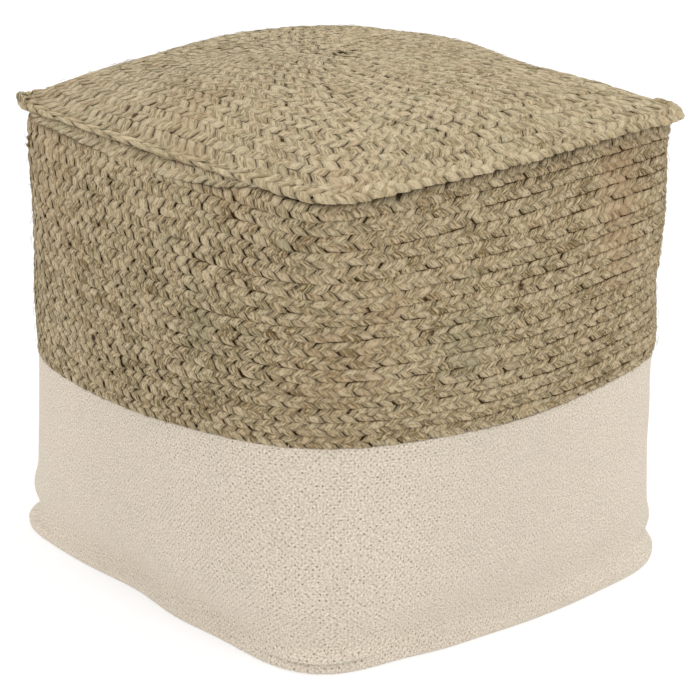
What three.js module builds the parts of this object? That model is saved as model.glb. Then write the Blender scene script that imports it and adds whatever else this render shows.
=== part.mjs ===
// Rectangular pouf: a filled, crowned block of braided jute on a band of fine cotton braid.
// Millimetres, +Z up. The origin is on the floor under the middle of the pouf.
// The near face looks along -Y and the right face along +X.

import * as THREE from 'three';

// Driving dimensions
const RIM_MIDDLE = 442; // the level of the seam round the top, at the middle of the pouf
const CROWN_RISE = 48; // how far the filling lifts the middle of the top above its edge
const CROWN_POWER = 3; // a high power keeps the top flat and its edges steep
const CROWN_MIDDLE_SQUARENESS = 2.6; // the first turns of the coil are nearly round
const COIL_TURNS = 16; // turns of braid from the middle of the top to its edge
const WALL_ROWS = 17; // rows of braid down the wall
const ROW_RELIEF = 2.4; // how far a braid stands out of the seam beside it
const COTTON_STEP = 2; // the cotton lies this far inside the jute
const BASE_THICKNESS = 4;
const HEM_THICKNESS = 8;
const TROUGH_HEIGHT = 24; // the cotton is drawn in here, above its hem
const EDGE_BRAID_REACH = 7; // half the width of the edge braid, from side to side
const EDGE_BRAID_HEIGHT = 8; // half its height
const EDGE_BRAID_SIDES = 8;
const GAP = 0.3; // between pieces that touch

// The body of the pouf at several heights: half sizes between its corners, how far each
// pair of faces swells out past them, and how square the corners are.
const BODY = [
  { height: 0, halfX: 237, halfY: 238, bowX: 27, bowY: 8, squareness: 8.5 },
  { height: 12, halfX: 237, halfY: 238, bowX: 26, bowY: 8, squareness: 8.5 },
  { height: 24, halfX: 234, halfY: 233, bowX: 24, bowY: 10, squareness: 7.5 },
  { height: 60, halfX: 243, halfY: 242, bowX: 20, bowY: 14, squareness: 5.8 },
  { height: 130, halfX: 243, halfY: 242, bowX: 20, bowY: 18, squareness: 5.2 },
  { height: 208, halfX: 242, halfY: 240, bowX: 20, bowY: 20, squareness: 5 },
  { height: 300, halfX: 241, halfY: 238, bowX: 18, bowY: 19, squareness: 5.4 },
  { height: 380, halfX: 238, halfY: 233, bowX: 11, bowY: 14, squareness: 7.5 },
  { height: 436, halfX: 233, halfY: 222, bowX: 6, bowY: 9, squareness: 13 },
];

// The outer edge of the braid round the top, which overhangs the right face a little.
const RIM = { halfX: 242, halfY: 220, bowX: 5, bowY: 7, squareness: 17 };

// The heights of the two seams, which aren't level: where the cotton meets the jute, and
// where the wall meets the top.
const SEAMS = [
  { place: 'right face', angle: 0, border: 208, rim: 445 },
  { place: 'right corner', angle: 45, border: 216, rim: 449 },
  { place: 'far face', angle: 90, border: 210, rim: 443 },
  { place: 'far corner', angle: 135, border: 206, rim: 440 },
  { place: 'left face', angle: 180, border: 201, rim: 438 },
  { place: 'left corner', angle: 225, border: 198, rim: 438 },
  { place: 'near face', angle: 270, border: 202, rim: 441 },
  { place: 'near corner', angle: 315, border: 218, rim: 444 },
];
const BORDER_MIDDLE = 206;
const BAND_LEVEL_HEIGHT = 60; // below this height the rows of the band are level

// The ears that the seams leave at the corners. One corner of the hem is tucked in.
const EARS = [
  { corner: 'right', angle: 45, top: 7, bottom: 2 },
  { corner: 'far', angle: 135, top: 5, bottom: 2 },
  { corner: 'left', angle: 225, top: 4, bottom: 6 },
  { corner: 'near', angle: 315, top: 4, bottom: -6 },
];
const EAR_WIDTH = 8; // degrees to each side

// Directions round the pouf, close together at the corners and wide apart on the faces.
const STEPS_PER_CORNER = 16;
const CORNER_CROWDING = 1.7;
const DIRECTIONS = [];
for (let corner = 0; corner < 4; corner += 1) {
  for (let step = 0; step < STEPS_PER_CORNER; step += 1) {
    const offset = (2 * step) / STEPS_PER_CORNER - 1;
    const spread = 45 * Math.sign(offset) * Math.abs(offset) ** CORNER_CROWDING;
    DIRECTIONS.push(THREE.MathUtils.degToRad(90 * corner + 45 + spread));
  }
}

// Smooth values between the rows of a table, whose first column is the place.
function smoothTable(rows, place, columns) {
  const places = rows.map((row) => row[place]);
  const values = rows.flatMap((row) => columns.map((column) => row[column]));
  const curve = new THREE.CubicInterpolant(places, values, columns.length);
  return (where) => {
    const found = curve.evaluate(where);
    return Object.fromEntries(columns.map((column, index) => [column, found[index]]));
  };
}

const bodyAt = smoothTable(BODY, 'height', ['halfX', 'halfY', 'bowX', 'bowY', 'squareness']);

// The seams once round, with more rows at each end so that they close smoothly.
const seamsRound = [
  ...SEAMS.slice(-2).map((row) => ({ ...row, angle: row.angle - 360 })),
  ...SEAMS,
  ...SEAMS.slice(0, 3).map((row) => ({ ...row, angle: row.angle + 360 })),
];
const seamTable = smoothTable(seamsRound, 'angle', ['border', 'rim']);

function seamsAt(direction) {
  const degrees = THREE.MathUtils.radToDeg(direction);
  return seamTable(THREE.MathUtils.euclideanModulo(degrees, 360));
}

function earReach(direction, side) {
  const degrees = THREE.MathUtils.radToDeg(direction);
  let reach = 0;
  for (const ear of EARS) {
    const away = THREE.MathUtils.euclideanModulo(degrees - ear.angle + 180, 360) - 180;
    reach += ear[side] * Math.exp(-((away / EAR_WIDTH) ** 2));
  }
  return reach;
}

// A point of an outline: a square with rounded corners whose faces swell outwards.
// The inset moves every face in, and the ear pushes the point out along its direction.
function outlinePoint(direction, shape, inset = 0, ear = 0) {
  const halfX = shape.halfX - inset;
  const halfY = shape.halfY - inset;
  const power = shape.squareness;
  const alongX = Math.cos(direction);
  const alongY = Math.sin(direction);
  const size = Math.abs(alongX / halfX) ** power + Math.abs(alongY / halfY) ** power;
  const radius = size ** (-1 / power);
  const x = radius * alongX;
  const y = radius * alongY;
  const swellX = 1 + (shape.bowX / halfX) * (1 - (y / halfY) ** 2);
  const swellY = 1 + (shape.bowY / halfY) * (1 - (x / halfX) ** 2);
  return new THREE.Vector2(x * swellX + ear * alongX, y * swellY + ear * alongY);
}

// A closed solid turned round the upright axis, whose every point is then put in its place.
// The profile is a list of functions of the direction, and the first and last are on the
// axis or the same.
function turnedSolid(profile) {
  const blank = profile.map((_, index) => new THREE.Vector2(1, index));
  const geometry = new THREE.LatheGeometry(blank, DIRECTIONS.length);
  const position = geometry.attributes.position;
  for (let step = 0; step <= DIRECTIONS.length; step += 1) {
    const direction = DIRECTIONS[step % DIRECTIONS.length];
    profile.forEach((placePoint, index) => {
      const { x, y, z } = placePoint(direction);
      position.setXYZ(step * profile.length + index, x, y, z);
    });
  }
  return geometry;
}

function onAxis(height) {
  return () => new THREE.Vector3(0, 0, height);
}

function onOutline(direction, shape, height, inset = 0, ear = 0) {
  const point = outlinePoint(direction, shape, inset, ear);
  return new THREE.Vector3(point.x, point.y, height);
}

// Base panel: a flat panel that the pouf rests on, a little inside the hem above it.
const BASE_INSET = 3;

function basePanel() {
  const edge = (height) => (direction) => (
    onOutline(direction, bodyAt(0), height, BASE_INSET, earReach(direction, 'bottom')));
  return turnedSolid([
    onAxis(0),
    edge(0),
    edge(BASE_THICKNESS),
    onAxis(BASE_THICKNESS),
  ]);
}

// Cotton band: its hem turns out at the floor, it is drawn in above that and swells again.
const HEM_LEVELS = [BASE_THICKNESS + GAP, HEM_THICKNESS, HEM_THICKNESS + BASE_THICKNESS];
const BAND_LEVELS = [18, TROUGH_HEIGHT, 32, 44, BAND_LEVEL_HEIGHT, 95, 130, 170, BORDER_MIDDLE];

// A level of the band follows the border more, the higher it lies.
function bandHeight(direction, level) {
  if (level <= BAND_LEVEL_HEIGHT) return level;
  const rise = (level - BAND_LEVEL_HEIGHT) / (BORDER_MIDDLE - BAND_LEVEL_HEIGHT);
  return BAND_LEVEL_HEIGHT + rise * (seamsAt(direction).border - BAND_LEVEL_HEIGHT);
}

function cottonBand() {
  const hem = (level) => (direction) => (
    onOutline(direction, bodyAt(level), level, 0, earReach(direction, 'bottom')));
  const band = (level) => (direction) => {
    const height = bandHeight(direction, level);
    return onOutline(direction, bodyAt(height), height, COTTON_STEP);
  };
  return turnedSolid([
    onAxis(BASE_THICKNESS + GAP),
    ...HEM_LEVELS.map(hem),
    ...BAND_LEVELS.map(band),
    onAxis(BORDER_MIDDLE),
  ]);
}

// Jute wall: rows of braid, each a rib between two seams, from the border to the edge braid.
const RIB_POINTS = [
  { across: 0, relief: 0 },
  { across: 0.25, relief: 1 },
  { across: 0.75, relief: 1 },
];
const WALL_BELOW_RIM = EDGE_BRAID_HEIGHT + GAP;
const NECK_BELOW_RIM = 4; // the wall ends and the top panel begins inside the edge braid
const NECK_INSET = 2 * EDGE_BRAID_REACH + GAP;

// The neck that the edge braid lies round.
function neck(overRim) {
  return (direction) => onOutline(
    direction,
    RIM,
    seamsAt(direction).rim + overRim,
    NECK_INSET,
    earReach(direction, 'top'),
  );
}

function juteWall() {
  const wallPoint = (rise, inset) => (direction) => {
    const { border, rim } = seamsAt(direction);
    const bottom = border + GAP;
    const height = bottom + rise * (rim - WALL_BELOW_RIM - bottom);
    return onOutline(direction, bodyAt(height), height, inset);
  };
  const profile = [onAxis(BORDER_MIDDLE + GAP), wallPoint(0, COTTON_STEP)];
  for (let row = 0; row < WALL_ROWS; row += 1) {
    for (const { across, relief } of RIB_POINTS) {
      profile.push(wallPoint((row + across) / WALL_ROWS, ROW_RELIEF * (1 - relief)));
    }
  }
  profile.push(wallPoint(1, ROW_RELIEF), neck(-WALL_BELOW_RIM), neck(-NECK_BELOW_RIM));
  profile.push(onAxis(RIM_MIDDLE - NECK_BELOW_RIM));
  return turnedSolid(profile);
}

// Edge braid: one fuller braid laid over the seam between the top and the wall.
function edgeBraid() {
  const flat = 1 / Math.cos(Math.PI / EDGE_BRAID_SIDES);
  const profile = [];
  for (let side = 0; side <= EDGE_BRAID_SIDES; side += 1) {
    const turn = (2 * Math.PI * ((side % EDGE_BRAID_SIDES) + 0.5)) / EDGE_BRAID_SIDES;
    const inset = EDGE_BRAID_REACH * (1 - flat * Math.sin(turn));
    const overRim = -flat * EDGE_BRAID_HEIGHT * Math.cos(turn);
    profile.push((direction) => onOutline(
      direction,
      RIM,
      seamsAt(direction).rim + overRim,
      inset,
      earReach(direction, 'top'),
    ));
  }
  return turnedSolid(profile);
}

// Top panel: a flat braid coiled from the middle outwards, one rib for each turn, and
// lifted to a crown by the filling.
const CROWN_OVER_RIM = 4;
const COIL_RELIEF = 2;

function topPanel() {
  const crownPoint = (reach, relief) => (direction) => {
    const squareness = THREE.MathUtils.lerp(
      CROWN_MIDDLE_SQUARENESS,
      RIM.squareness,
      reach ** CROWN_POWER,
    );
    const ear = earReach(direction, 'top') * reach ** CROWN_POWER;
    const edge = outlinePoint(direction, { ...RIM, squareness }, NECK_INSET, ear);
    const height = CROWN_OVER_RIM + relief + THREE.MathUtils.lerp(
      RIM_MIDDLE + CROWN_RISE,
      seamsAt(direction).rim,
      reach ** CROWN_POWER,
    );
    return new THREE.Vector3(edge.x * reach, edge.y * reach, height);
  };
  const bottom = GAP - NECK_BELOW_RIM;
  const profile = [onAxis(RIM_MIDDLE + bottom), neck(bottom), neck(CROWN_OVER_RIM)];
  for (let turn = COIL_TURNS; turn >= 1; turn -= 1) {
    profile.push(crownPoint((turn - 0.5) / COIL_TURNS, COIL_RELIEF));
    if (turn > 1) profile.push(crownPoint((turn - 1) / COIL_TURNS, 0));
  }
  profile.push(onAxis(RIM_MIDDLE + CROWN_RISE + CROWN_OVER_RIM + COIL_RELIEF));
  return turnedSolid(profile);
}

// Materials
const jute = new THREE.MeshStandardMaterial({ color: 0xa89572, roughness: 0.92, metalness: 0 });
const paleJute = new THREE.MeshStandardMaterial({ color: 0xbcab88, roughness: 0.92, metalness: 0 });
const cotton = new THREE.MeshStandardMaterial({ color: 0xe2d6c3, roughness: 0.95, metalness: 0 });

// The pouf
const pouf = new THREE.Group();
const pieces = [
  { name: 'base_panel', geometry: basePanel(), material: cotton },
  { name: 'cotton_band', geometry: cottonBand(), material: cotton },
  { name: 'jute_wall', geometry: juteWall(), material: jute },
  { name: 'top_edge_braid', geometry: edgeBraid(), material: jute },
  { name: 'top_panel', geometry: topPanel(), material: paleJute },
];
for (const { name, geometry, material } of pieces) {
  const mesh = new THREE.Mesh(geometry, material);
  mesh.name = name;
  pouf.add(mesh);
}

export default pouf;
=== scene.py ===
# %% [markdown]
# # A rectangular pouf of braided jute and cotton
#
# The pouf is a firm, filled block. A flat jute braid is coiled for its top and sewn in
# rows for its wall, a fuller braid covers the seam round the top, and a deep band of fine
# cotton braid stands under the jute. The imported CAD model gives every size. This lesson
# dresses it with real strands, so that the braid casts its own shadows.

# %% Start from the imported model
import math

import bmesh
import bpy
import numpy as np
from mathutils import Matrix, Vector


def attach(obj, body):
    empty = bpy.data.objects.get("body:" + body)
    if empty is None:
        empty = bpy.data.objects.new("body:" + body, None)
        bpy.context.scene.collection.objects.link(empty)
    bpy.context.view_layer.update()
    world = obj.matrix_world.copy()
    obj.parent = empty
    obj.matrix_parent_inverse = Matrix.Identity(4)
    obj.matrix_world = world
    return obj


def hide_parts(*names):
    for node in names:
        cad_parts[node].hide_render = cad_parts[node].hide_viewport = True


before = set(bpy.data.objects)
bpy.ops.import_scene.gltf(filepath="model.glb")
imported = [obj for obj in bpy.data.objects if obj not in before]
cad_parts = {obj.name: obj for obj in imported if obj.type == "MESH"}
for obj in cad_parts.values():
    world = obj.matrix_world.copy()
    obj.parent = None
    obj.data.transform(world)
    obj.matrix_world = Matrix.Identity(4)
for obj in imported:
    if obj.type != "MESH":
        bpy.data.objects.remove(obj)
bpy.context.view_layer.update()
MM = 0.001
print("CAD nodes:", sorted(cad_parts))

# %% [markdown]
# ## The photograph's camera
#
# A camera needs a place, a point to look at and a lens. All three came from fitting the
# six seam corners that show. A long lens two metres away keeps upright edges parallel.

# %% Camera
CAMERA_TURN = math.radians(49.43)  # round the pouf, from straight in front
CAMERA_LIFT = math.radians(20.26)
CAMERA_DISTANCE = 2.2464
CAMERA_TARGET = Vector((0.0533, -0.0344, 0.2220))
CAMERA_ROLL = math.radians(0.505)
LENS_PER_SENSOR = 2342 / 700  # the lens length is this many widths of the picture


def add_object(name, data):
    """Put a mesh, a lens or a lamp into the scene."""
    made = bpy.data.objects.new(name, data)
    bpy.context.collection.objects.link(made)
    return made


def place_camera():
    """A camera that looks at the target, rolled a little."""
    back = Vector((
        math.sin(CAMERA_TURN) * math.cos(CAMERA_LIFT),
        -math.cos(CAMERA_TURN) * math.cos(CAMERA_LIFT),
        math.sin(CAMERA_LIFT),
    ))
    right = Vector((0, 0, 1)).cross(back).normalized()
    up = back.cross(right)
    turned_right = right * math.cos(CAMERA_ROLL) + up * math.sin(CAMERA_ROLL)
    turned_up = up * math.cos(CAMERA_ROLL) - right * math.sin(CAMERA_ROLL)
    lens = bpy.data.cameras.new("photo_camera")
    lens.lens = lens.sensor_width * LENS_PER_SENSOR
    camera = add_object("photo_camera", lens)
    turn = Matrix((turned_right, turned_up, back)).transposed().to_4x4()
    camera.matrix_world = Matrix.Translation(CAMERA_TARGET + back * CAMERA_DISTANCE) @ turn
    bpy.context.scene.camera = camera
    return camera


photo_camera = place_camera()
print("camera at", [round(value, 3) for value in photo_camera.location])

# %% [markdown]
# ## The shape of the filled body
#
# The CAD model's outline is a square with rounded corners whose faces swell outwards. It
# changes with the height. The same few measured rows give it here, so that the braids lie
# on the CAD surface. numpy works out all points at once, for which a loop needs minutes.

# %% The body's outline at several heights, in millimetres
BODY = np.array([
    # height, half x, half y, swell x, swell y, squareness
    [0, 237, 238, 27, 8, 8.5],
    [12, 237, 238, 26, 8, 8.5],
    [24, 234, 233, 24, 10, 7.5],
    [60, 243, 242, 20, 14, 5.8],
    [130, 243, 242, 20, 18, 5.2],
    [208, 242, 240, 20, 20, 5],
    [300, 241, 238, 18, 19, 5.4],
    [380, 238, 233, 11, 14, 7.5],
    [436, 233, 222, 6, 9, 13],
], dtype=float)
RIM = (242, 220, 5, 7, 17)  # the outer edge of the braid round the top
RIM_MIDDLE = 442
CROWN_RISE = 46
CROWN_OVER_RIM = 4
CROWN_POWER = 3.85  # a high power keeps the top flat and its edges steep
CROWN_CORNERS = 0.8  # this much power less makes the corners fall away sooner
CROWN_SQUARENESS = 2.6
COIL_TURNS = 16
WALL_ROWS = 17
COTTON_STEP = 2
HEM_BOTTOM = 0.5  # the hem's fold stands on the floor
BASE_THICKNESS = 4
BORDER_MIDDLE = 206
BAND_LEVEL_HEIGHT = 60
SEAMS = np.array([
    # direction in degrees, height of the cotton's border, height of the rim
    [0, 208, 445],
    [45, 216, 449],
    [60, 213, 439],
    [75, 211, 436],
    [90, 210, 441],
    [135, 206, 436],
    [180, 201, 438],
    [225, 198, 438],
    [270, 202, 441],
    [315, 218, 444],
], dtype=float)
EARS = np.array([
    # direction in degrees, reach of the ear at the top, and at the bottom
    [45, 7, 0],
    [135, 5, 2],
    [225, 4, 6],
    [315, 4, -6],
], dtype=float)
EAR_WIDTH = 8
BULGES = np.array([
    # direction and height of a bulge's middle, its size round and up, its push outwards
    [45, 345, 14, 55, 6],
    [45, 235, 12, 40, 6],
    [45, 160, 12, 35, 2.5],
    [45, 36, 10, 14, 8],
    [225, 255, 14, 40, 3],
    [225, 40, 10, 20, 9],
    [264, 5, 15, 45, -9],
    [298, 5, 13, 45, -8],
    [328, 5, 9, 45, -10],
    [345, 5, 12, 45, -4],
    [20, 5, 14, 45, 3],
    [35, 4, 8, 20, 5],
    [45, 442, 8, 13, 5],
    [135, 434, 8, 13, 5],
    [225, 434, 8, 13, 3],
    [315, 438, 8, 13, 5],
    [0, 440, 38, 24, 5],
    [318, 440, 22, 24, 3],
], dtype=float)
EDGE_REACH = 7
EDGE_HEIGHT = 8
NECK_INSET = 2 * EDGE_REACH + 0.3
WALL_BELOW_RIM = 4.5  # the wall's last row ends under the edge braid
WALL_CURL = 6  # and curls in there, to meet it
CURL_START, CURL_LENGTH = 0.95, 0.05  # shares of the wall's height
CURL_LIMIT = 1.5
BORDER_GAP = 0.3


def stack(*parts):
    """Parts side by side along a last axis, such as x, y and z."""
    return np.stack(parts, axis=-1)


def smooth_values(places, values, where):
    """Smooth values between measured ones. Each slope is the mean of both sides."""
    chords = np.diff(values) / np.diff(places)
    slopes = np.concatenate([chords[:1], (chords[:-1] + chords[1:]) / 2, chords[-1:]])
    where = np.clip(where, places[0], places[-1])
    row = np.clip(np.searchsorted(places, where, side="right") - 1, 0, len(places) - 2)
    step = places[row + 1] - places[row]
    part = (where - places[row]) / step
    square, cube = part**2, part**3
    return (
        (2 * cube - 3 * square + 1) * values[row]
        + (cube - 2 * square + part) * step * slopes[row]
        + (3 * square - 2 * cube) * values[row + 1]
        + (cube - square) * step * slopes[row + 1]
    )


ROUND = np.vstack([SEAMS[-2:] - [360, 0, 0], SEAMS, SEAMS[:3] + [360, 0, 0]])


def seam_height(turn, column):
    """The height of the border (1) or of the rim (2) in these directions."""
    return smooth_values(ROUND[:, 0], ROUND[:, column], np.degrees(turn) % 360)


def degrees_from(turn, direction):
    """How far these directions lie from another one, from -180 to 180 degrees."""
    return (np.degrees(turn) - direction + 180) % 360 - 180


def ear_reach(turn, column):
    """How far the ears push an edge out, at the top (1) or the bottom (2)."""
    away = degrees_from(turn[..., None], EARS[:, 0])
    return (EARS[:, column] * np.exp(-((away / EAR_WIDTH) ** 2))).sum(axis=-1)


def bulge(turn, height):
    """How far the uneven filling pushes the cloth out. Under 0, it sinks."""
    away = degrees_from(turn[..., None], BULGES[:, 0])
    above = (np.zeros_like(turn) + height)[..., None] - BULGES[:, 1]
    share = np.exp(-((away / BULGES[:, 2]) ** 2) - (above / BULGES[:, 3]) ** 2)
    return (BULGES[:, 4] * share).sum(axis=-1)


def outline(turn, shape, inset=0.0, ear=0.0):
    """x and y of an outline: a rounded square whose faces swell outwards."""
    half_x, half_y, swell_x, swell_y, power = shape
    half_x = half_x - inset
    half_y = half_y - inset
    along_x, along_y = np.cos(turn), np.sin(turn)
    radius = (abs(along_x / half_x) ** power + abs(along_y / half_y) ** power) ** (-1 / power)
    x, y = radius * along_x, radius * along_y
    swollen_x = x * (1 + swell_x / half_x * (1 - (y / half_y) ** 2))
    swollen_y = y * (1 + swell_y / half_y * (1 - (x / half_x) ** 2))
    return swollen_x + ear * along_x, swollen_y + ear * along_y


def body_shape(height):
    """The five values of the outline at this height."""
    return [smooth_values(BODY[:, 0], BODY[:, column], height) for column in range(1, 6)]


def wall_surface(turn, rise, inset=0.0):
    """Points of the jute wall. rise goes from 0 at the border to 1 under the rim."""
    bottom = seam_height(turn, 1) + BORDER_GAP
    height = bottom + rise * (seam_height(turn, 2) - WALL_BELOW_RIM - bottom)
    curl = WALL_CURL * np.clip((rise - CURL_START) / CURL_LENGTH, 0, CURL_LIMIT) ** 2
    x, y = outline(turn, body_shape(height), inset + curl, bulge(turn, height))
    return stack(x, y, height)


def crown_surface(turn, reach, lift=0.0):
    """Points of the crowned top. reach goes from 0 in the middle to 1 at the rim."""
    cube = abs(reach) ** 3
    squareness = CROWN_SQUARENESS + (RIM[4] - CROWN_SQUARENESS) * cube
    shape = (*RIM[:4], squareness)
    x, y = outline(turn, shape, NECK_INSET, ear_reach(turn, 1) * cube)
    top = RIM_MIDDLE + CROWN_RISE
    steep = abs(reach) ** (CROWN_POWER + CROWN_CORNERS * np.cos(4 * turn))
    height = CROWN_OVER_RIM + lift + top + (seam_height(turn, 2) - top) * steep
    return stack(x * reach, y * reach, height)


print("wall at the middle of the right face:", wall_surface(np.array([0.0]), 0.5).round(1))

# %% [markdown]
# ## Rolling a strand
#
# A strand of yarn is a tube. bmesh makes a flat grid, and each of its points is then put
# round the strand's middle line, so the grid becomes a tube whose edges are merged. One
# blank grid serves every strand of one length. Most of the points round the tube are on
# its upper side, because the underside never shows.

# %% The blank grid and the rolled tube
SIDE_ANGLES = np.radians([0, 36, 70, 110, 144, 180, 270, 360])
SIDES = len(SIDE_ANGLES) - 1
FLATNESS = 0.66  # under 1, a strand is flatter than an ellipse
MERGE_DISTANCE = 1e-6
SLOPE_STEP, RUN_STEP = 1e-3, 1e-4  # for the slope of a surface and the run of a thread


def blank_strand(steps, sides=SIDES):
    """A flat mesh with a UV map and room for a tint, and its places from 0 to 1 both ways."""
    flat = bmesh.new()
    bmesh.ops.create_grid(flat, x_segments=steps, y_segments=sides, size=0.5, calc_uvs=False)
    flat.loops.layers.uv.new("yarn")
    mesh = bpy.data.meshes.new("blank_strand")
    flat.to_mesh(mesh)
    flat.free()
    mesh.attributes.new("tint", "FLOAT_COLOR", "POINT")
    places = np.empty(len(mesh.vertices) * 3)
    mesh.vertices.foreach_get("co", places)
    corners = np.empty(len(mesh.loops), dtype=np.int32)
    mesh.loops.foreach_get("vertex_index", corners)
    return mesh, places.reshape(-1, 3)[:, :2] + 0.5, corners


def unit(vectors):
    return vectors / np.linalg.norm(vectors, axis=-1, keepdims=True)


def section(turn):
    """The flattened section of a strand: its shares across and upwards."""
    across = np.sign(np.cos(turn)) * abs(np.cos(turn)) ** FLATNESS
    upward = np.sign(np.sin(turn)) * abs(np.sin(turn)) ** FLATNESS
    return across[:, None], upward[:, None]


def roll(middle_line, sizes, steps, turn, out):
    """Points of a thread round a middle line, with its upper side towards out."""
    forward = unit(middle_line(steps + RUN_STEP) - middle_line(steps - RUN_STEP))
    side = unit(np.cross(forward, out))
    up = np.cross(side, forward)
    width, thickness = sizes(steps)
    across, upward = section(turn)
    return middle_line(steps) + side * across * width[:, None] + up * upward * thickness[:, None]


def add_tube(joined, blank, points, yarn_uv, tint):
    """Put the blank's points in place and add it to the joined mesh."""
    mesh, _, corners = blank
    mesh.vertices.foreach_set("co", (points * MM).ravel())
    mesh.uv_layers["yarn"].data.foreach_set("uv", (yarn_uv * MM)[corners].ravel())
    mesh.attributes["tint"].data.foreach_set("color", tint.ravel())
    joined.from_mesh(mesh)


def finish_piece(joined, name, material):
    """Merge the seams, close the ends, turn the faces out, and make the object."""
    bmesh.ops.remove_doubles(joined, verts=joined.verts, dist=MERGE_DISTANCE)
    open_ends = [edge for edge in joined.edges if edge.is_boundary]
    bmesh.ops.holes_fill(joined, edges=open_ends, sides=SIDES)
    if joined.calc_volume(signed=True) < 0:
        bmesh.ops.reverse_faces(joined, faces=joined.faces)
    unclosed = sum(1 for edge in joined.edges if not edge.is_manifold)
    mesh = bpy.data.meshes.new(name)
    joined.to_mesh(mesh)
    joined.free()
    mesh.shade_smooth()
    mesh.materials.append(material)
    piece = add_object(name, mesh)
    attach(piece, "root")
    triangles = sum(len(face.vertices) - 2 for face in mesh.polygons)
    print(f"{name}: {triangles} triangles, {unclosed} open edges")
    return piece


# %% [markdown]
# ## Three strands in a flat braid
#
# In a flat braid of three, each strand crosses from one edge to the other and back. It
# lies on top while it goes outwards and underneath while it comes back, a third of a
# period behind its neighbour. A sine with twice the pace lifts it at the right moments.
# Hand-made braid is never even, so each strand wanders a little, with seeded chance. Each
# point also keeps its depth, so that the finish can paint shade into the creases.

# %% The braid
PERIOD = 42.0  # millimetres of braid in which one strand comes back to its place
STEPS_PER_PERIOD = 12
ROW_HALF = 6.7  # half the width of the flat braid
EVEN_ANGLES = range(0, 181, 30)  # half a turn of a strand, in degrees
EARLY_ANGLES = [0, 22, 45, 68, 90, 135, 180]  # more points in its first half
LATE_ANGLES = [0, 45, 90, 112, 135, 158, 180]
SLANT = 0.2  # over 0, a strand crosses more steeply on top than underneath
FOLD_SHARPNESS = 0.9  # from 0, a round fold, to 1, a sharp one
FOLD_POWER = 8  # a high power keeps the fold short
# depth decides how much shade the finish paints into a crease
RISE_DEPTH, THICKNESS_DEPTH, ROUNDING_DEPTH = 0.5, 1.3, 0.4  # what counts for a crease
LOBE_OFFSET = 0.3  # where along a strand the next lobe begins
STRAND_GIRTH, STRAND_SHIFT = 22, 977  # round a strand and between two, in the fibres' pattern
SIZE_CHANCE, ALONG_CHANCE, ACROSS_CHANCE, OUT_CHANCE = 0.09, 1.1, 0.45, 0.3  # unevenness
rng = np.random.default_rng(17)


def wander(count, amount, closed=True):
    """A smooth random line along a strand, with one random value for each count."""
    values = rng.normal(0, amount, count + 1)
    if closed:
        values[-1] = values[0]

    def at(part):
        place = (part % 1.0 if closed else np.clip(part, 0, 1)) * count
        low = np.minimum(np.floor(place).astype(int), count - 1)
        ease = (1 - np.cos(np.pi * (place - low))) / 2
        return values[low] * (1 - ease) + values[low + 1] * ease

    return at


class Braid:
    """One braid, with its sizes in millimetres.

    swing: how far a strand goes to each side before it folds back
    lift: how far it rises over the others and sinks under them
    width: half the strand's width, along the braid
    thickness, edge_thickness: its thickness, and the one where it folds
    scallop: how far the corners of a fold stand back
    overlap: how far one side of a lobe rises over its neighbour
    tip: 1 where the chevrons point against the run, and -1 along it
    """

    def __init__(self, **sizes):
        vars(self).update(sizes)

    def phase(self, plain):
        """Most of a strand's points lie in the quarters in which it is on top."""
        half = np.floor(plain / np.pi + 1e-9)
        rest = np.degrees(plain - half * np.pi)
        angles = EARLY_ANGLES if self.tip > 0 else LATE_ANGLES
        return np.radians(np.interp(rest, EVEN_ANGLES, angles)) + half * np.pi

    def strand(self, number, periods, part, around, uneven, closed=True):
        """Points of one strand: along the braid, across it and out of it."""
        def chance(amount):
            return wander(2 * periods, amount * uneven, closed)(part)

        turn = self.phase(2 * np.pi * (periods * part + number / 3))
        pace = turn - SLANT * np.sin(2 * turn - self.tip * np.pi / 2)
        along = (pace / (2 * np.pi) - number / 3) * PERIOD
        across = self.swing * np.arcsin(FOLD_SHARPNESS * np.sin(turn)) / np.arcsin(FOLD_SHARPNESS)
        out = self.tip * self.lift * np.sin(2 * turn)
        fold = np.sin(turn) ** FOLD_POWER
        thickness = self.thickness + (self.edge_thickness - self.thickness) * fold
        scale = 1 + chance(SIZE_CHANCE)
        share, upward = (side[:, 0] for side in section(around))
        along = along + chance(ALONG_CHANCE) + share * self.width * scale
        across = across + chance(ACROSS_CHANCE)
        across = across - self.scallop * share**2 * fold * np.sign(across)
        out = out + chance(OUT_CHANCE)
        out = out + (self.overlap + chance(OUT_CHANCE)) * share
        depth = RISE_DEPTH * out + THICKNESS_DEPTH * upward * thickness
        out = out + upward * thickness * scale
        lobe = np.floor((turn + LOBE_OFFSET * self.tip) / np.pi).astype(int)
        return stack(along, across, out), lobe, depth


FLAT_BRAID = Braid(
    swing=7.5, lift=1.5, width=7.6, thickness=1.5, edge_thickness=1.3, scallop=1.4,
    overlap=0.7, tip=1,
)


def normals_of(surface, turn, across, facing):
    """Outward directions of a surface, from its slopes both ways."""
    round_slope = surface(turn + SLOPE_STEP, across) - surface(turn - SLOPE_STEP, across)
    across_slope = surface(turn, across + SLOPE_STEP) - surface(turn, across - SLOPE_STEP)
    return unit(np.cross(round_slope, across_slope)) * facing


def always(value):
    return lambda turn: value


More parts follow.
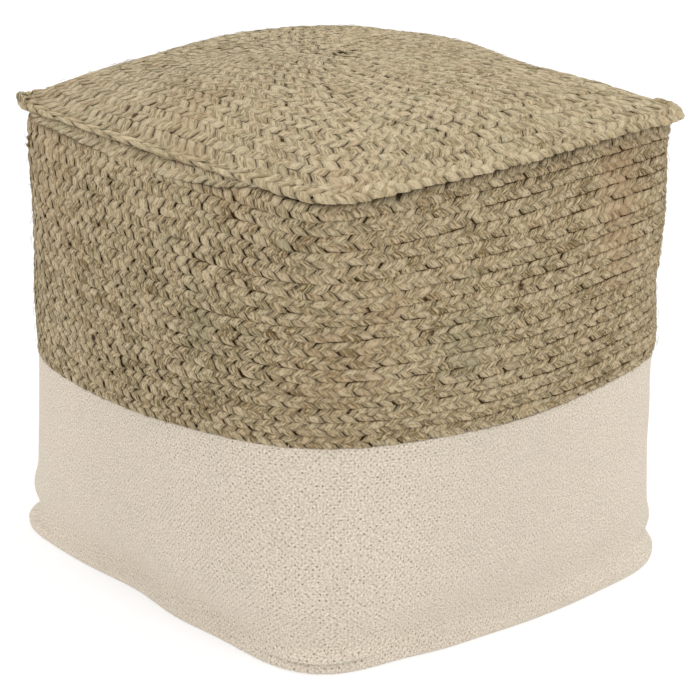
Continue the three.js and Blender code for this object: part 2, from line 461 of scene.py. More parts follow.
def lay_braid(joined, braid, surface, turns, centre, half, uneven, tint_at,
              facing=1, closed=True, start=0.0, row_half=ROW_HALF, round_off=always(0),
              spread=always(1), swell=always(1), density=always(1)):
    """Lay one braid on a surface, along a line of directions and places across it.

    round_off lowers the braid's two sides, spread widens it, swell scales its relief and
    density its number of lobes. Each of them is a function of the direction.
    """
    pieces = np.linalg.norm(np.diff(surface(turns, centre), axis=0), axis=1)
    pieces = pieces * density((turns[1:] + turns[:-1]) / 2)
    lengths = np.concatenate([[0], np.cumsum(pieces)])
    periods = max(1, round(lengths[-1] / PERIOD))
    blank = blank_strand(periods * STEPS_PER_PERIOD)
    part, around = blank[1][:, 0], blank[1][:, 1]
    side_turn = np.interp(around * SIDES, np.arange(SIDES + 1), SIDE_ANGLES)
    for number in range(3):
        flat, lobe, depth = braid.strand(number, periods, part, side_turn, uneven, closed)
        run = flat[:, 0] / (periods * PERIOD) + start
        if closed:
            run = run % 1.0
        turn = np.interp(run * lengths[-1], lengths, turns)
        sideways = flat[:, 1] / row_half * spread(turn)
        across = np.interp(turn, turns, centre) + sideways * np.interp(turn, turns, half)
        normal = normals_of(surface, turn, across, facing)
        out = (flat[:, 2] - round_off(turn) * sideways**2) * swell(turn)
        # the lowered sides count as deeper, so more shade is painted there
        depth = (depth - ROUNDING_DEPTH * round_off(turn) * sideways**2) / swell(turn)
        points = surface(turn, across) + normal * out[:, None]
        yarn_along = part * periods * PERIOD + STRAND_SHIFT * number
        yarn_uv = stack(yarn_along, around * STRAND_GIRTH)
        add_tube(joined, blank, points, yarn_uv, tint_at(points, lobe, depth))
    bpy.data.meshes.remove(blank[0])
    return periods, lengths[-1]


# %% [markdown]
# ## Shader maths as plain expressions
#
# A node tree for uneven colour needs a lot of small sums. The first class wraps a socket,
# so that a sum in Python adds its Math nodes. Any other node comes from one method of the
# second class, which is a material with a plain shader.

# %% A small class for node sums
def sum_method(operation, swapped=False):
    """A method that adds a Math node. swapped puts the other value first."""
    def method(value, other):
        pair = (other, value) if swapped else (value, other)
        return value.finish.maths(operation, *pair)
    return method


class Value:
    """A socket that takes part in sums."""

    def __init__(self, finish, socket):
        self.finish = finish
        self.socket = socket


for short, operation in (
    ("add", "ADD"), ("sub", "SUBTRACT"), ("mul", "MULTIPLY"), ("truediv", "DIVIDE"),
):
    setattr(Value, f"__{short}__", sum_method(operation))
    setattr(Value, f"__r{short}__", sum_method(operation, swapped=True))


class Finish:
    """A material with a plain shader, and the methods that feed it."""

    def __init__(self, name, roughness, sheen, specular):
        self.material = bpy.data.materials.new(name)
        self.material.use_nodes = True
        self.tree = self.material.node_tree
        self.shader = self.tree.nodes["Principled BSDF"]
        for key, value in {
            "Roughness": roughness, "Sheen Weight": sheen, "Sheen Roughness": 0.5,
            "Specular IOR Level": specular,
        }.items():
            self.shader.inputs[key].default_value = value

    def put(self, target, value):
        """Link a value to a socket, or set the socket."""
        if isinstance(value, Value):
            self.tree.links.new(value.socket, target)
        else:
            target.default_value = value

    def node(self, kind, settings=None, inputs=(), output=0):
        """Add a node: its settings first, then the values or links of its sockets."""
        made = self.tree.nodes.new(kind)
        for key, value in (settings or {}).items():
            if key == "stops":
                for place, stop in enumerate(value):
                    elements = made.color_ramp.elements
                    element = elements[place] if place < len(elements) else elements.new(stop[0])
                    element.position, element.color = stop
            else:
                setattr(made, key, value)
        pairs = inputs.items() if isinstance(inputs, dict) else enumerate(inputs)
        for key, value in pairs:
            self.put(made.inputs[key], value)
        return Value(self, made.outputs[output])

    def maths(self, operation, *values):
        return self.node("ShaderNodeMath", {"operation": operation}, values)

    def ease(self, value, low, high):
        """0 under low, 1 over high, and smooth between."""
        return self.node(
            "ShaderNodeMapRange",
            {"interpolation_type": "SMOOTHSTEP"},
            {"Value": value, "From Min": low, "From Max": high},
        )

    def noise(self, vector, scale, detail=2.0, roughness=0.5):
        return self.node(
            "ShaderNodeTexNoise",
            {"noise_dimensions": "3D"},
            {"Vector": vector, "Scale": scale, "Detail": detail, "Roughness": roughness},
        )

    def mix(self, share, first, second):
        """Two colours mixed by a share. Sockets 6 and 7 and output 2 are for colours."""
        return self.node(
            "ShaderNodeMix",
            {"data_type": "RGBA"},
            {0: share, 6: first, 7: second},
            output=2,
        )

    def place(self):
        return self.node("ShaderNodeTexCoord", output="Object")

    def yarn(self):
        """Places along and across the yarn, from its own UV map."""
        return self.split(self.node("ShaderNodeUVMap", {"uv_map": "yarn"}))[:2]

    def split(self, vector):
        made = self.tree.nodes.new("ShaderNodeSeparateXYZ")
        self.put(made.inputs[0], vector)
        return [Value(self, made.outputs[axis]) for axis in range(3)]

    def join(self, x, y, z=0.0):
        return self.node("ShaderNodeCombineXYZ", {}, [x, y, z])

    def look(self, colour, height, distance):
        """Feed the colour and a bump of this height to the shader."""
        self.put(self.shader.inputs["Base Color"], colour)
        normal = self.node("ShaderNodeBump", {}, {"Height": height, "Distance": distance})
        self.put(self.shader.inputs["Normal"], normal)


def linear(red, green, blue):
    """A colour that was read off a screen, as the shader wants it."""
    return tuple(((value / 255 + 0.055) / 1.055) ** 2.4 for value in (red, green, blue)) + (1.0,)


# %% [markdown]
# ## Jute
#
# Jute is a stiff bast fibre with a faint shine. Its colour runs from straw to brown within
# one strand. The strands' own UV map lets the streaks of fibre follow each strand. The
# tone of each lobe and the depth of each point come with the mesh, and deep points are
# painted dark brown, as painted shade in the creases.

# %% Jute material
STREAKS = (90, 480, 3.0, 0.65)  # scale along a strand and round it, detail, roughness
FINE_STREAKS = (170, 1000, 2.0, 0.6)
TONE_SHARE, PATCH_SHARE = 0.5, 0.3
LIGHT_SHIFT = 0.38  # brings the sum of the patterns to the middle of the ramp
RAMP = (0.16, 0.43, 0.75)  # where the dark, middle and pale colour lie
# the dark brown of deep points is painted shade in the creases
CREASE_SHADE_BOTTOM = 0.7  # at this depth a crease is darkest


def jute_finish(name, colours, crease_shade_top=1.85, crease_shade_share=1.0, grain=1.9):
    """Jute, from its pale, middle and dark colour and the brown of its flecks."""
    pale, middle, dark, brown = (linear(*colour) for colour in colours)
    finish = Finish(name, roughness=0.85, sheen=0.03, specular=0.1)
    u, v = finish.yarn()
    tint = finish.node("ShaderNodeAttribute", {"attribute_name": "tint"}, output="Vector")
    tone, warmth, fleck = finish.split(tint)
    depth = finish.node("ShaderNodeAttribute", {"attribute_name": "tint"}, output="Alpha")

    def streaks(along, across, detail, roughness):
        return finish.noise(finish.join(u * along, v * across), 1.0, detail, roughness)

    streak, fine = streaks(*STREAKS), streaks(*FINE_STREAKS)
    patch = finish.noise(finish.place(), 22.0, 3.0)
    light = tone * TONE_SHARE + streak + fine * grain + patch * PATCH_SHARE
    light = light - LIGHT_SHIFT - 0.5 * grain
    stops = list(zip(RAMP, (dark, middle, pale)))
    colour = finish.node("ShaderNodeValToRGB", {"stops": stops}, {"Fac": light})
    for share, shade in (
        (finish.maths("MAXIMUM", warmth, 0.0), linear(176, 147, 113)),  # warm
        (finish.maths("MAXIMUM", warmth * -1, 0.0), linear(138, 136, 104)),  # green
        (finish.ease(fleck, 0.2, 0.8), brown),
        # painted shade: deep points of a strand turn dark brown
        (finish.ease(depth, crease_shade_top, CREASE_SHADE_BOTTOM) * crease_shade_share, linear(70, 46, 8)),
    ):
        colour = finish.mix(share, colour, shade)
    finish.look(colour, streak + fine, 0.0022)
    return finish.material


jute_wall_finish = jute_finish(
    "jute_wall", [(204, 186, 153), (169, 151, 117), (110, 90, 55), (84, 62, 42)],
    crease_shade_top=1.6, grain=2.1,
)
jute_edge_finish = jute_finish(
    "jute_edge", [(211, 194, 160), (184, 167, 133), (126, 105, 68), (90, 68, 46)], grain=1.2,
)
jute_top_finish = jute_finish(
    "jute_top", [(206, 190, 157), (182, 166, 134), (130, 110, 74), (84, 62, 42)],
    crease_shade_top=1.6, crease_shade_share=0.45,
)

# %% [markdown]
# ## Uneven colour, lobe by lobe
#
# Each lobe of a natural braid has its own tone. A random value for each lobe does this,
# and soft patches up to a hand wide make the wall warmer or greener in places. Chance
# would spread these anywhere, so they and the dark specks lie where they were seen.

# %% Tints
WALL_TONES, TOP_TONES = 0.17, 0.15  # how far the tones of single lobes lie apart
WARMTH_CHANCE = 0.1
FLECK_CHANCE = 0.004  # so many lobes are a little darker
FLECK_RANGE = (0.2, 0.45)
TOP_STRANDS_LIFT = 6  # from the crown's surface to the upper sides of its strands
WALL_FLECKS = [
    # direction in degrees, rise up the wall, radius in millimetres, strength
    (6.0, 0.93, 3.5, 1.0),
    (10.4, 0.555, 4.0, 1.0),
    (358.3, 0.54, 4.0, 1.0),
    (285.2, 0.75, 4.0, 0.7),
    (241.9, 0.305, 3.5, 1.0),
    (257.7, 0.24, 3.5, 1.0),
    (334.9, 0.44, 4.0, 0.8),
    (356.2, 0.45, 5.0, 0.6),
    (326.2, 0.615, 6.0, 0.5),
]
WALL_PATCHES = [
    # the same, with a strength over 0 for a warm patch and under 0 for a green one
    (28.9, 0.895, 30, 0.5),
    (27.8, 0.675, 32, 0.5),
    (27.4, 0.475, 26, 0.35),
    (299.7, 0.97, 22, 0.35),
    (326.9, 0.535, 14, 0.4),
    (318.3, 0.3, 50, 0.25),
    (235.0, 0.88, 45, 0.3),
    (243.0, 0.56, 34, 0.25),
    (342.8, 0.365, 30, -0.35),
    (292.8, 0.41, 26, -0.35),
]
TOP_FLECKS = [
    # the same, with the reach from the middle
    (331.3, 1.045, 5.0, 0.6),
    (340.0, 1.045, 5.0, 0.5),
    (324.8, 1.045, 5.0, 0.5),
    (122.5, 0.91, 4.0, 1.0),
    (90.2, 0.49, 4.0, 0.7),
    (322.8, 0.53, 3.5, 0.8),
    (248.8, 0.93, 4.5, 1.0),
    (253.8, 0.95, 4.5, 1.0),
    (336.5, 0.74, 3.5, 0.8),
    (342.8, 0.79, 3.5, 0.8),
]
TOP_PATCHES = [
    (267.0, 0.82, 30, 0.3),
    (276.5, 0.9, 24, 0.2),
    (320.0, 0.96, 22, 0.35),
    (223.0, 0.93, 30, 0.3),
    (283.0, 1.03, 18, 0.35),
]


def marks_on(surface, flecks, patches):
    """The places, radii, warmth and darkness of the marks on a surface."""
    turn, across, radius, strength = np.array(flecks + patches).T
    fleck = np.arange(len(strength)) < len(flecks)
    return surface(np.radians(turn), across), radius, strength * ~fleck, strength * fleck


def tint_with(spread, marks):
    """A function that gives a strand's points their tone, warmth, fleck and depth."""
    places, radius, mark_warmth, mark_fleck = marks

    def tint_at(points, lobe, depth):
        lobe = lobe - lobe.min()
        count = lobe.max() + 1
        tones = rng.normal(0.5, spread, count)
        warm = rng.normal(0.0, WARMTH_CHANCE, count)
        dark = (rng.random(count) < FLECK_CHANCE) * rng.uniform(*FLECK_RANGE, count)
        away = np.linalg.norm(points[:, None] - places, axis=2) / radius
        warm = warm[lobe] + (np.exp(-(away**2)) * mark_warmth).sum(axis=1)
        dark = dark[lobe] + (np.exp(-(away**4)) * mark_fleck).sum(axis=1)
        return stack(tones[lobe], warm, dark, depth)

    return tint_at


wall_marks = marks_on(wall_surface, WALL_FLECKS, WALL_PATCHES)
top_marks = marks_on(
    lambda turn, reach: crown_surface(turn, reach, TOP_STRANDS_LIFT), TOP_FLECKS, TOP_PATCHES,
)

# %% [markdown]
# ## The wall
#
# Seventeen rows of braid are sewn one below the other. A row is a closed ring: the real
# one is one long spiral, but a row's height changes so little on its way round that rings
# look the same and leave no end. The lines between rows waver by a millimetre.

# %% Wall rows
WALL_INSET = 2.6  # the middle of the braid lies this far inside the body's outline
ROW_WAVES = 26
ROW_WAVER = 0.07
END_WAVER = 0.3  # the share of it for the first line and the last one
ROW_GROWTH = 0.11  # the rows near the rim are this much wider
TIGHT_TURN = 228  # in degrees, where the braid is plaited most tightly
TURNS = np.linspace(0, 2 * np.pi, 2881)


def wall_middle(turn, rise):
    return wall_surface(turn, rise, WALL_INSET)


row_lines = [wander(ROW_WAVES, ROW_WAVER) for _ in range(WALL_ROWS + 1)]


def row_line(number):
    """The line between two rows, as a share of the wall's height."""
    share = number / WALL_ROWS
    level = share * (1 + ROW_GROWTH * (share - 1))
    waver = END_WAVER if number in (0, WALL_ROWS) else 1.0
    return level + waver * row_lines[number](TURNS / (2 * np.pi)) / WALL_ROWS


def near_tight_corner(amount, width):
    """A function of 1, changed by this amount at the left corner of the pouf."""
    return lambda turn: 1 + amount * np.exp(-((degrees_from(turn, TIGHT_TURN) / width) ** 2))


def towards_right(value, amount):
    """A function with more than this value on the right face, and less on the near one."""
    return lambda turn: value + amount * (np.cos(turn) + np.sin(turn))


row_swell = near_tight_corner(-0.45, 26)  # the braid is pressed flat there
row_rounding = towards_right(0.7, 0.55)  # how far the sides of a row lie back
row_spread = towards_right(1.03, -0.04)  # tightly sewn rows interlock on the near face


def wall_piece(name, rows):
    joined = bmesh.new()
    for row in rows:
        low, high = row_line(row), row_line(row + 1)
        lay_braid(
            joined, FLAT_BRAID, wall_middle, TURNS, (low + high) / 2, (high - low) / 2,
            uneven=1.0, tint_at=tint_with(WALL_TONES, wall_marks), start=rng.random(),
            round_off=row_rounding, spread=row_spread, swell=row_swell,
        )
    return finish_piece(joined, name, jute_wall_finish)


wall_pieces = [
    wall_piece("jute_rows_low", range(0, 6)),
    wall_piece("jute_rows_middle", range(6, 12)),
    wall_piece("jute_rows_high", range(12, 17)),
]
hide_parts("jute_wall")

# %% [markdown]
# ## The top
#
# One braid is coiled from the middle outwards. The spiral's line is a direction that
# keeps turning and a reach that grows by one braid in each turn. Its last turn slips
# under the edge braid, so no cut end shows. Its chevrons point the other way round.

# %% Coiled top
COIL_BRAID = Braid(
    swing=7.7, lift=1.1, width=7.5, thickness=1.4, edge_thickness=1.3, scallop=1.2,
    overlap=0.1, tip=-1,
)
COIL_LIFT = 3.6
COIL_END = 16
COIL_REACH = 1.025  # the outermost turn reaches a little under the edge braid
COIL_STRETCH = 0.035
STRETCH_POWER = 8
COIL_TUCK, COIL_NARROWING = 0.3, 0.25  # of the last turn, as shares of a row
coil_density = near_tight_corner(0.3, 38)
coil_swell = near_tight_corner(-0.45, 40)
COIL_START_TURN = math.radians(315)
COIL_START = -0.3  # in turns. The first lobes lie over the middle and close it.
EDGE_SIZES = np.array([
    # direction in degrees, size of the braid, how closely it is plaited
    [0, 1.05, 1.0],
    [37, 1.05, 1.0],
    [45, 1.35, 1.0],
    [53, 1.05, 1.0],
    [180, 1.0, 1.0],
    [218, 0.95, 0.8],
    [225, 1.1, 0.9],
    [232, 0.6, 0.45],
    [296, 0.6, 0.45],
    [306, 0.95, 0.7],
    [312, 1.0, 0.8],
    [330, 1.05, 1.0],
    [360, 1.05, 1.0],
], dtype=float)


def edge_value(column):
    return lambda turn: np.interp(np.degrees(turn) % 360, EDGE_SIZES[:, 0], EDGE_SIZES[:, column])


edge_size, edge_density = edge_value(1), edge_value(2)


def coil_middle(turn, reach):
    """The coil's surface. It reaches out to meet the edge braid where that is thin."""
    thin = np.clip(2 * (1 - edge_size(turn)), 0, 1)
    stretch = 1 + COIL_STRETCH * thin * abs(reach) ** STRETCH_POWER
    return crown_surface(turn, reach * stretch, COIL_LIFT)


def coil_piece():
    joined = bmesh.new()
    turns = 2 * np.pi * np.linspace(COIL_START, COIL_END, COIL_END * 720)
    count = turns / (2 * np.pi)
    last = np.maximum(0, count - (COIL_END - 1))
    centre = (0.5 + count - COIL_TUCK * last) * COIL_REACH / COIL_TURNS
    half = (0.5 - COIL_NARROWING * last) * COIL_REACH / COIL_TURNS
    periods, length = lay_braid(
        joined, COIL_BRAID, coil_middle, turns + COIL_START_TURN, centre, half,
        uneven=0.9, tint_at=tint_with(TOP_TONES, top_marks), facing=-1, closed=False,
        density=coil_density, swell=coil_swell,
    )
    print(f"the coil has {periods} periods in {length / 1000:.2f} m")
    return finish_piece(joined, "jute_top_coil", jute_top_finish)


coil = coil_piece()
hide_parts("top_panel")

# %% [markdown]
# ## The braid round the top
#
# A fuller braid lies over the seam between the wall and the top. It is bent over the
# edge, so its lower half looks outwards and its upper half looks up.

# %% Edge braid
EDGE_BRAID = Braid(
    swing=8.4, lift=1.5, width=7.0, thickness=2.8, edge_thickness=1.8, scallop=1.2,
    overlap=0.8, tip=1,
)
EDGE_CORE = 4.5  # the radius that the braid is bent round
EDGE_LEAN = math.radians(55)  # the middle of the braid looks out and up
EDGE_BEND = math.radians(70)


def edge_surface(turn, across):
    """A strip bent over the rim, from -1 at its lower side to 1 at its inner side."""
    size = edge_size(turn)
    inset = EDGE_REACH * np.minimum(size, 1)
    lean = EDGE_LEAN + EDGE_BEND * across

    def rim_line(turn):
        return stack(*outline(turn, RIM, inset, ear_reach(turn, 1)))

    x, y = rim_line(turn).T
    run = unit(rim_line(turn + SLOPE_STEP) - rim_line(turn - SLOPE_STEP))
    shift = EDGE_CORE * size * np.cos(lean)
    height = seam_height(turn, 2) + EDGE_CORE * size * np.sin(lean)
    return stack(x + run[:, 1] * shift, y - run[:, 0] * shift, height)


def edge_piece():
    joined = bmesh.new()
    centre = np.zeros_like(TURNS)
    periods, length = lay_braid(
        joined, EDGE_BRAID, edge_surface, TURNS, centre, centre + 1,
        uneven=1.0, tint_at=tint_with(TOP_TONES, top_marks), row_half=EDGE_HEIGHT,
        swell=edge_size, density=edge_density,
    )
    print(f"the edge braid has {periods} periods in {length / 1000:.2f} m")
    return finish_piece(joined, "jute_edge_braid", jute_edge_finish)


edge_braid = edge_piece()
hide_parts("top_edge_braid")

# %% [markdown]
# ## The inner side of the jute
#
# Between two lobes one looks into the braid and sees its shaded inner side, never through
# it. A closed body at the height of the strands' middles gives that depth. Its browns are
# darker than the jute's own and its finish darkens it as a crease: both are painted shade.
# Its grid is rolled round the upright axis, and its poles are merged.

# %% Body between the strands
BACKING_RISE = 0.3  # the inner side lies this far over the middle of the strands
BODY_UV = (1900, 400)  # millimetres round the body and up it
# painted shade: these browns are darker than the jute's own
shaded_backing_finish = jute_finish(
    "jute_inner", [(138, 114, 70), (116, 92, 52), (90, 67, 33), (66, 46, 22)],
)


def turned_piece(name, levels, steps, finish_used, rows=None,
                 tint=(0.0, 0.0, 0.0, 0.0)):
    """A closed body round the upright axis. Each level is a function of the direction."""
    blank = blank_strand(steps, len(levels) - 1)
    places = blank[1]
    turn = 2 * np.pi * (places[:, 0] % 1.0)
    level_number = np.rint(places[:, 1] * (len(levels) - 1)).astype(int)
    points = np.zeros((len(places), 3))
    for number, level in enumerate(levels):
        chosen = level_number == number
        points[chosen] = level(turn[chosen])
    yarn_uv = places * BODY_UV
    if rows is not None:
        yarn_uv[:, 1] = np.array(rows)[level_number]
    joined = bmesh.new()
    add_tube(joined, blank, points, yarn_uv, np.tile(tint, (len(points), 1)))
    bpy.data.meshes.remove(blank[0])
    return finish_piece(joined, name, finish_used)


def on_axis(height):
    return lambda turn: stack(0 * turn, 0 * turn, 0 * turn + height)


def backing_piece():
    levels = [on_axis(BORDER_MIDDLE + 4)]
    levels += [lambda turn, rise=rise: wall_surface(turn, rise, WALL_INSET - BACKING_RISE)
               for rise in np.linspace(0, 1.02, 18)]
    levels += [lambda turn, reach=reach: crown_surface(turn, reach, COIL_LIFT + BACKING_RISE)
               for reach in np.linspace(1, 0.05, 16)]
    levels += [on_axis(RIM_MIDDLE + CROWN_RISE + CROWN_OVER_RIM + COIL_LIFT + BACKING_RISE)]
    return turned_piece(
        # a depth of 1 lets the finish paint its crease shade over most of the body
        "jute_inner_side", levels, 180, shaded_backing_finish, tint=(0.4, 0.0, 0.0, 1.0),
    )


backing = backing_piece()
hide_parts("jute_wall")

# %% [markdown]
# ## Cotton
#
# The band is a very fine cotton braid, sewn in rows about five and a half millimetres
# high. The rows are real ridges of the mesh. Single lobes are three millimetres long, so
# they are raised by bump, which follows the band's own UV map: millimetres along the
# band, and rows up it. The sewn braid has small pits where slanting lines cross. The pits
# and the low parts of the bump are painted darker, as painted shade.

# %% Cotton material
COTTON_ROW_HEIGHT = 5.39  # millimetres
COTTON_LOBE = 5.5  # two lobes of the fine braid, in millimetres
LOBE_LONG, LOBE_SHORT = 0.3, 0.95  # how fast the relief changes along a lobe and across it


def cotton_finish(name):
    finish = Finish(name, roughness=0.95, sheen=0.2, specular=0.15)
    u, row = finish.yarn()
    along = u * 1000
    row = row * 1000
    up = row * COTTON_ROW_HEIGHT

    def noise(first, second, shift=0.0, detail=1.0):
        return finish.noise(finish.join(first, second, shift), 1.0, detail)

    rising = noise((along + up) * LOBE_LONG, (along - up) * LOBE_SHORT)
    falling = noise((along - up) * LOBE_LONG, (along + up) * LOBE_SHORT, 5.0)
    height = rising + falling
    plaits = along / COTTON_LOBE + noise(along * 0.11, up * 0.11, detail=2.0) * 0.8
    one_way = finish.maths("SINE", (plaits + row) * 2 * math.pi)
    other_way = finish.maths("SINE", (plaits - row) * 2 * math.pi)
    chance = finish.ease(noise(along * 0.3, up * 0.3, 9.0), 0.35, 0.7)
    x, y, _ = finish.split(finish.place())
    near_corner = finish.ease(x - y, 0.05, 0.4) * 0.7 + 0.3
    # where the pits lie, for their painted shade and their bump
    pit = finish.ease(one_way + other_way, 0.9, 1.9) * chance * near_corner
    wide = finish.noise(finish.place(), 11.0, 2.0)
    narrow = finish.noise(finish.place(), 27.0, 2.0)
    colour = finish.mix(finish.ease(wide, 0.3, 0.7), linear(240, 227, 210), linear(244, 230, 213))
    for share, shade in (
        (finish.ease(narrow, 0.52, 0.7) * 0.15, linear(228, 209, 189)),  # warm
        (finish.ease(narrow, 0.48, 0.3) * 0.2, linear(215, 213, 193)),  # grey
        # painted shade: the low parts of the bump turn darker
        (finish.ease(height, 1.2, 0.78), linear(192, 179, 159)),  # shaded
        # painted shade in the pits
        (pit, linear(140, 126, 104)),
    ):
        colour = finish.mix(share, colour, shade)
    finish.look(colour, height - pit, 0.0008)
    return finish.material


cotton_band_finish = cotton_finish("cotton_band_rows")

# %% [markdown]
# ## The cotton band
#
# The hem turns out at the floor. The band is drawn in just above it and swells again
# under the weight of what fills it. It is rolled like the inner side. The levels of its
# grid follow the border near the top and the floor near the bottom.

# %% Cotton band
COTTON_ROWS = 36
COTTON_RIDGE = 0.14
BAND_BOTTOM = 12.0
BASE_INSET = 14.0  # the base panel ends inside the hem's fold
LEVELS_PER_ROW = 4
HEM = [
    # level, inset and place in the UV map, in rows, from inside the fold to the band
    (BASE_THICKNESS, BASE_INSET - 2, -4.0),
    (HEM_BOTTOM, 5.0, -2.6),
    (HEM_BOTTOM, 1.2, -2.2),
    (1.2, 0.3, -2.0),
    (4.0, 0.0, -1.5),
    (8.0, 0.2, -0.8),
    (11.0, 1.6, -0.2),
]
POLE_ROWS = 40  # the two closing panels reach this many rows on in the UV map


def band_level(level, inset, ears=0):
    """The band's outline at one level. ears is 1 for the hem."""
    rise = np.maximum(0, (level - BAND_LEVEL_HEIGHT) / (BORDER_MIDDLE - BAND_LEVEL_HEIGHT))

    def points(turn):
        lifted = rise * (seam_height(turn, 1) - BAND_LEVEL_HEIGHT)
        height = np.minimum(level, BAND_LEVEL_HEIGHT) + lifted
        push = bulge(turn, height) + ears * ear_reach(turn, 2)
        x, y = outline(turn, body_shape(height), inset, push)
        return stack(x, y, height)
    return points


def cotton_piece():
    levels = [on_axis(BASE_THICKNESS)] + [band_level(level, inset, 1) for level, inset, _ in HEM]
    rows = [-POLE_ROWS] + [row for _, _, row in HEM]
    for step in range(COTTON_ROWS * LEVELS_PER_ROW + 1):
        row = step / LEVELS_PER_ROW
        level = BAND_BOTTOM + (BORDER_MIDDLE - BAND_BOTTOM) * row / COTTON_ROWS
        ridge = 1 - abs(2 * (row % 1) - 1) ** 2
        levels.append(band_level(level, COTTON_STEP + COTTON_RIDGE * (0.5 - ridge)))
        rows.append(row)
    levels += [band_level(BORDER_MIDDLE, COTTON_STEP + 4), on_axis(BORDER_MIDDLE)]
    rows += [COTTON_ROWS + 0.5, COTTON_ROWS + POLE_ROWS]
    return turned_piece(
        "cotton_braid_band", levels, 360, cotton_band_finish, rows,
    )


cotton_band = cotton_piece()
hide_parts("cotton_band")

# %% [markdown]
# ## Short threads
#
# Stray fibres, loose ends and stitches are all short and thin. They are rolled from one
# small blank grid. Curves would do as well, but tubes of a mesh are exported as they are.

# %% Short threads on a surface
THREAD_STEPS = 5
THREAD_SIDES = 3
THREAD_TONES = (0.3, 0.9)
THREAD_ENDS = 6  # each end tapers over one part in so many
THREAD_GIRTH = 6  # in radii
# the finish paints no crease shade at this depth
NO_CREASE = 3.0  # a depth that is far out of the creases


def short_threads(name, count, thread, radius, finish_used, facing=1):
    """Many short threads. thread gives each one's surface, its place there and its form."""
    blank = blank_strand(THREAD_STEPS, THREAD_SIDES)
    part, around = blank[1][:, 0], blank[1][:, 1]
    joined = bmesh.new()
    for _ in range(count):
        surface, turn, across, heading, length, rise, bend, start_out = thread()
        turn, across = np.array([turn]), np.array([across])
        normal = normals_of(surface, turn, across, facing)[0]
        level = unit(np.cross([0.0, 0.0, 1.0], normal) + MERGE_DISTANCE)
        run = level * math.cos(heading) + np.cross(normal, level) * math.sin(heading)
        side = np.cross(run, normal)
        start = surface(turn, across)[0] + normal * start_out - run * length / 2

        def middle_line(share):
            share = share[:, None]
            arch = 4 * share * (1 - share)
            out = rise[0] * arch + rise[1] * share**2
            return start + run * (length * share) + normal * out + side * (bend * arch)

        def sizes(share):
            taper = np.clip(np.minimum(share, 1 - share) * THREAD_ENDS, 0, 1) ** 0.5
            return radius * taper, radius * taper

        points = roll(middle_line, sizes, part, around * 2 * np.pi, normal)
        tint = np.tile([rng.uniform(*THREAD_TONES), 0.0, 0.0, NO_CREASE], (len(points), 1))
        yarn_uv = stack(part * length, around * radius * THREAD_GIRTH)
        add_tube(joined, blank, points, yarn_uv, tint)
    bpy.data.meshes.remove(blank[0])
    return finish_piece(joined, name, finish_used)


# %% [markdown]
# ## Stray fibres
#
# Jute sheds: single fibres stand off the braid and soften its outline. There are far too
# many to place, so seeded chance gives each one its place, heading, length and rise.

# %% Stray fibres
def fibre(surface, across, longest, middle_rise, end_rise, start):
    """One stray fibre. across draws its place across the surface."""
    return (
        surface, rng.uniform(0, 2 * math.pi), across(), rng.uniform(0, 2 * math.pi),
        rng.uniform(5, longest), (rng.uniform(0, middle_rise), abs(rng.normal(0, end_rise))),
        rng.normal(0, 1.2), rng.uniform(*start),
    )


def fibre_on_wall():
    return fibre(wall_middle, lambda: rng.uniform(0, 1), 14, 1.2, 1.4, (2.0, 3.2))


def fibre_on_top():
    return fibre(coil_middle, lambda: math.sqrt(rng.uniform(0.02, 1)), 13, 0.8, 0.8, (1.8, 2.6))


short_threads("jute_fibres_wall", 1500, fibre_on_wall, 0.17, jute_edge_finish)
short_threads("jute_fibres_top", 700, fibre_on_top, 0.15, jute_top_finish, facing=-1)

# %% [markdown]
# ## Loose ends
#
# A braid's end is never quite tucked in. One small loop stands up at the rim's left
# corner, and a few thick wisps stick out where a strand was joined. A table places them.

# %% Wisps and the corner loop
WISPS = [
    # surface, direction in degrees, place across it, heading in radians, then the length and
    # the rise in the middle and at the end, in millimetres
    (edge_surface, 223.8, 0.0, 1.5, 11, 7, 0),
    (edge_surface, 224.9, 0.1, 1.6, 11, 8, 0),
    (edge_surface, 226.0, 0.0, 1.7, 10, 6, 0),
    (edge_surface, 208.0, 0.9, 1.0, 6, 3, 9),
    (edge_surface, 207.4, 0.9, 1.3, 5, 3, 8),
    (wall_middle, 228.0, 0.9, 1.2, 8, 3, 3),
    (wall_middle, 228.0, 0.87, 1.0, 7, 3, 3),
]
WISP_LIFTS = {edge_surface: 1.5, wall_middle: -0.5}  # over the middle of the braid
WISP_BEND = 0.5
wisp_rows = iter(WISPS)


def wisp():
    surface, turn, across, heading, length, *rise = next(wisp_rows)
    turn = math.radians(turn)
    return surface, turn, across, heading, length, rise, WISP_BEND, WISP_LIFTS[surface]


short_threads("jute_wisps", len(WISPS), wisp, 1.5, jute_edge_finish)

# %% [markdown]
# ## Border stitches
#
# Small, almost upright cotton stitches hold the lowest jute row to the band. A hand sets
# them, so their place, slant and length vary a little.

# %% Border stitches
BORDER_LENGTH = 1880.0
STITCH_PITCH = 3.9
STITCH_COUNT = round(BORDER_LENGTH / STITCH_PITCH)
stitch_numbers = iter(range(STITCH_COUNT))


def thread_finish():
    finish = Finish("cotton_thread", roughness=0.9, sheen=0.2, specular=0.15)
    u, v = finish.yarn()
    twist = finish.noise(finish.join(u * 900, v * 900), 1.0, 1.0)
    finish.look(finish.mix(twist, linear(182, 168, 142), linear(220, 208, 188)), twist, 0.0003)
    return finish.material


def stitch():
    turn = 2 * math.pi * (next(stitch_numbers) + rng.uniform(-0.25, 0.25)) / STITCH_COUNT
    return (
        wall_middle, turn, rng.normal(0.004, 0.004), math.pi / 2 + rng.normal(0.25, 0.3),
        rng.uniform(2.8, 4.8), (rng.uniform(0.5, 0.9), 0.0), rng.normal(0, 0.4), 0.9,
    )


short_threads("border_stitches", STITCH_COUNT, stitch, 0.48, thread_finish())

# %% [markdown]
# ## The base panel
#
# A flat panel of plain woven cotton closes the underside, inside the hem's fold. It hardly
# shows, so two crossing waves of bump are enough for its weave.

# %% Base panel
WEAVE_PITCH = 0.0012  # metres


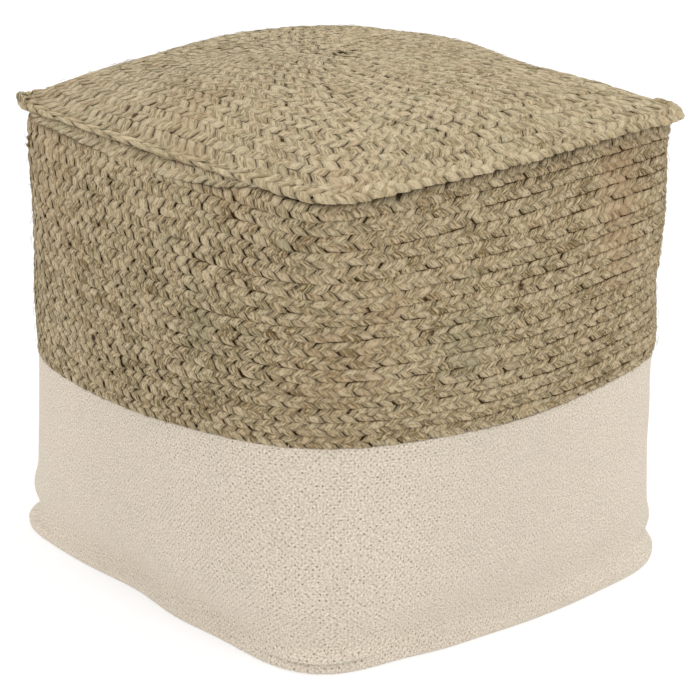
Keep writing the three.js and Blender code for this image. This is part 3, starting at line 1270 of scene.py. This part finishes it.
def woven_finish(name):
    finish = Finish(name, roughness=0.95, sheen=0.1, specular=0.15)
    x, y, _ = finish.split(finish.place())
    warp = finish.maths("SINE", x * 2 * math.pi / WEAVE_PITCH)
    weft = finish.maths("SINE", y * 2 * math.pi / WEAVE_PITCH)
    patch = finish.noise(finish.place(), 9.0, 3.0)
    colour = finish.mix(patch, linear(226, 216, 198), linear(214, 203, 184))
    finish.look(colour, warp * weft, 0.0002)
    return finish.material


base_cloth = turned_piece(
    "base_cloth",
    [on_axis(0.0), band_level(0.0, BASE_INSET, 1), band_level(BASE_THICKNESS, BASE_INSET, 1),
     on_axis(BASE_THICKNESS)],
    180, woven_finish("cotton_base_weave"),
)
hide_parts("base_panel")

# %% [markdown]
# ## Light and floor
#
# The photograph has a white ground, almost no shadow and soft light from above. A bright
# world gives most of it, a little dimmer on the camera's side. Three soft lamps light the
# top, the right face and the near one. The floor glows a little and so hides its shadow.

# %% Floor, world and lamps
WORLD_BEHIND = 1.0
WORLD_IN_FRONT = 0.82
FLOOR_HALF = 6.0
FLOOR_GLOW = 0.55
LAMPS = (
    # name, place, what it points at, width, power
    ("top_lamp", (0.7, -0.3, 2.6), (0, 0, 0.2), 2.2, 16),
    ("right_lamp", (2.8, 0.5, 1.1), (0, 0, 0.25), 1.6, 6),
    ("left_lamp", (-1.3, -2.6, 0.35), (0, 0, 0.15), 1.4, 5),
)


def lay_floor():
    sheet = bmesh.new()
    bmesh.ops.create_grid(sheet, x_segments=1, y_segments=1, size=FLOOR_HALF)
    mesh = bpy.data.meshes.new("studio_floor")
    sheet.to_mesh(mesh)
    sheet.free()
    finish = Finish("studio_floor", roughness=1.0, sheen=0.0, specular=0.0)
    finish.put(finish.shader.inputs["Base Color"], (0.5, 0.5, 0.5, 1.0))
    finish.put(finish.shader.inputs["Emission Color"], (1.0, 1.0, 1.0, 1.0))
    finish.put(finish.shader.inputs["Emission Strength"], FLOOR_GLOW)
    mesh.materials.append(finish.material)
    return add_object("studio_floor", mesh)


def light_world():
    """A white world whose strength falls towards the camera's side."""
    world = bpy.data.worlds.new("studio_world")
    world.use_nodes = True
    tree = world.node_tree
    background = tree.nodes["Background"].inputs
    background["Color"].default_value = (1.0, 1.0, 1.0, 1.0)
    direction = tree.nodes.new("ShaderNodeTexCoord")
    ahead = tree.nodes.new("ShaderNodeVectorMath")
    ahead.operation = "DOT_PRODUCT"
    ahead.inputs[1].default_value = (math.sin(CAMERA_TURN), -math.cos(CAMERA_TURN), 0.0)
    strength = tree.nodes.new("ShaderNodeMapRange")
    strength.inputs["To Min"].default_value = WORLD_BEHIND
    strength.inputs["To Max"].default_value = WORLD_IN_FRONT
    tree.links.new(direction.outputs["Generated"], ahead.inputs[0])
    tree.links.new(ahead.outputs["Value"], strength.inputs["Value"])
    tree.links.new(strength.outputs["Result"], background["Strength"])
    bpy.context.scene.world = world


def hang_lamps():
    for name, place, target, width, power in LAMPS:
        light = bpy.data.lights.new(name, "AREA")
        light.shape = "DISK"
        light.size = width
        light.energy = power
        lamp = add_object(name, light)
        lamp.location = place
        aim = Vector(target) - Vector(place)
        lamp.rotation_euler = aim.to_track_quat("-Z", "Y").to_euler()


floor = lay_floor()
light_world()
hang_lamps()
bpy.context.scene.view_settings.view_transform = "Standard"
print("lamps:", [lamp[0] for lamp in LAMPS])

# %% [markdown]
# The dressed pouf has to fill the same box as the CAD model.
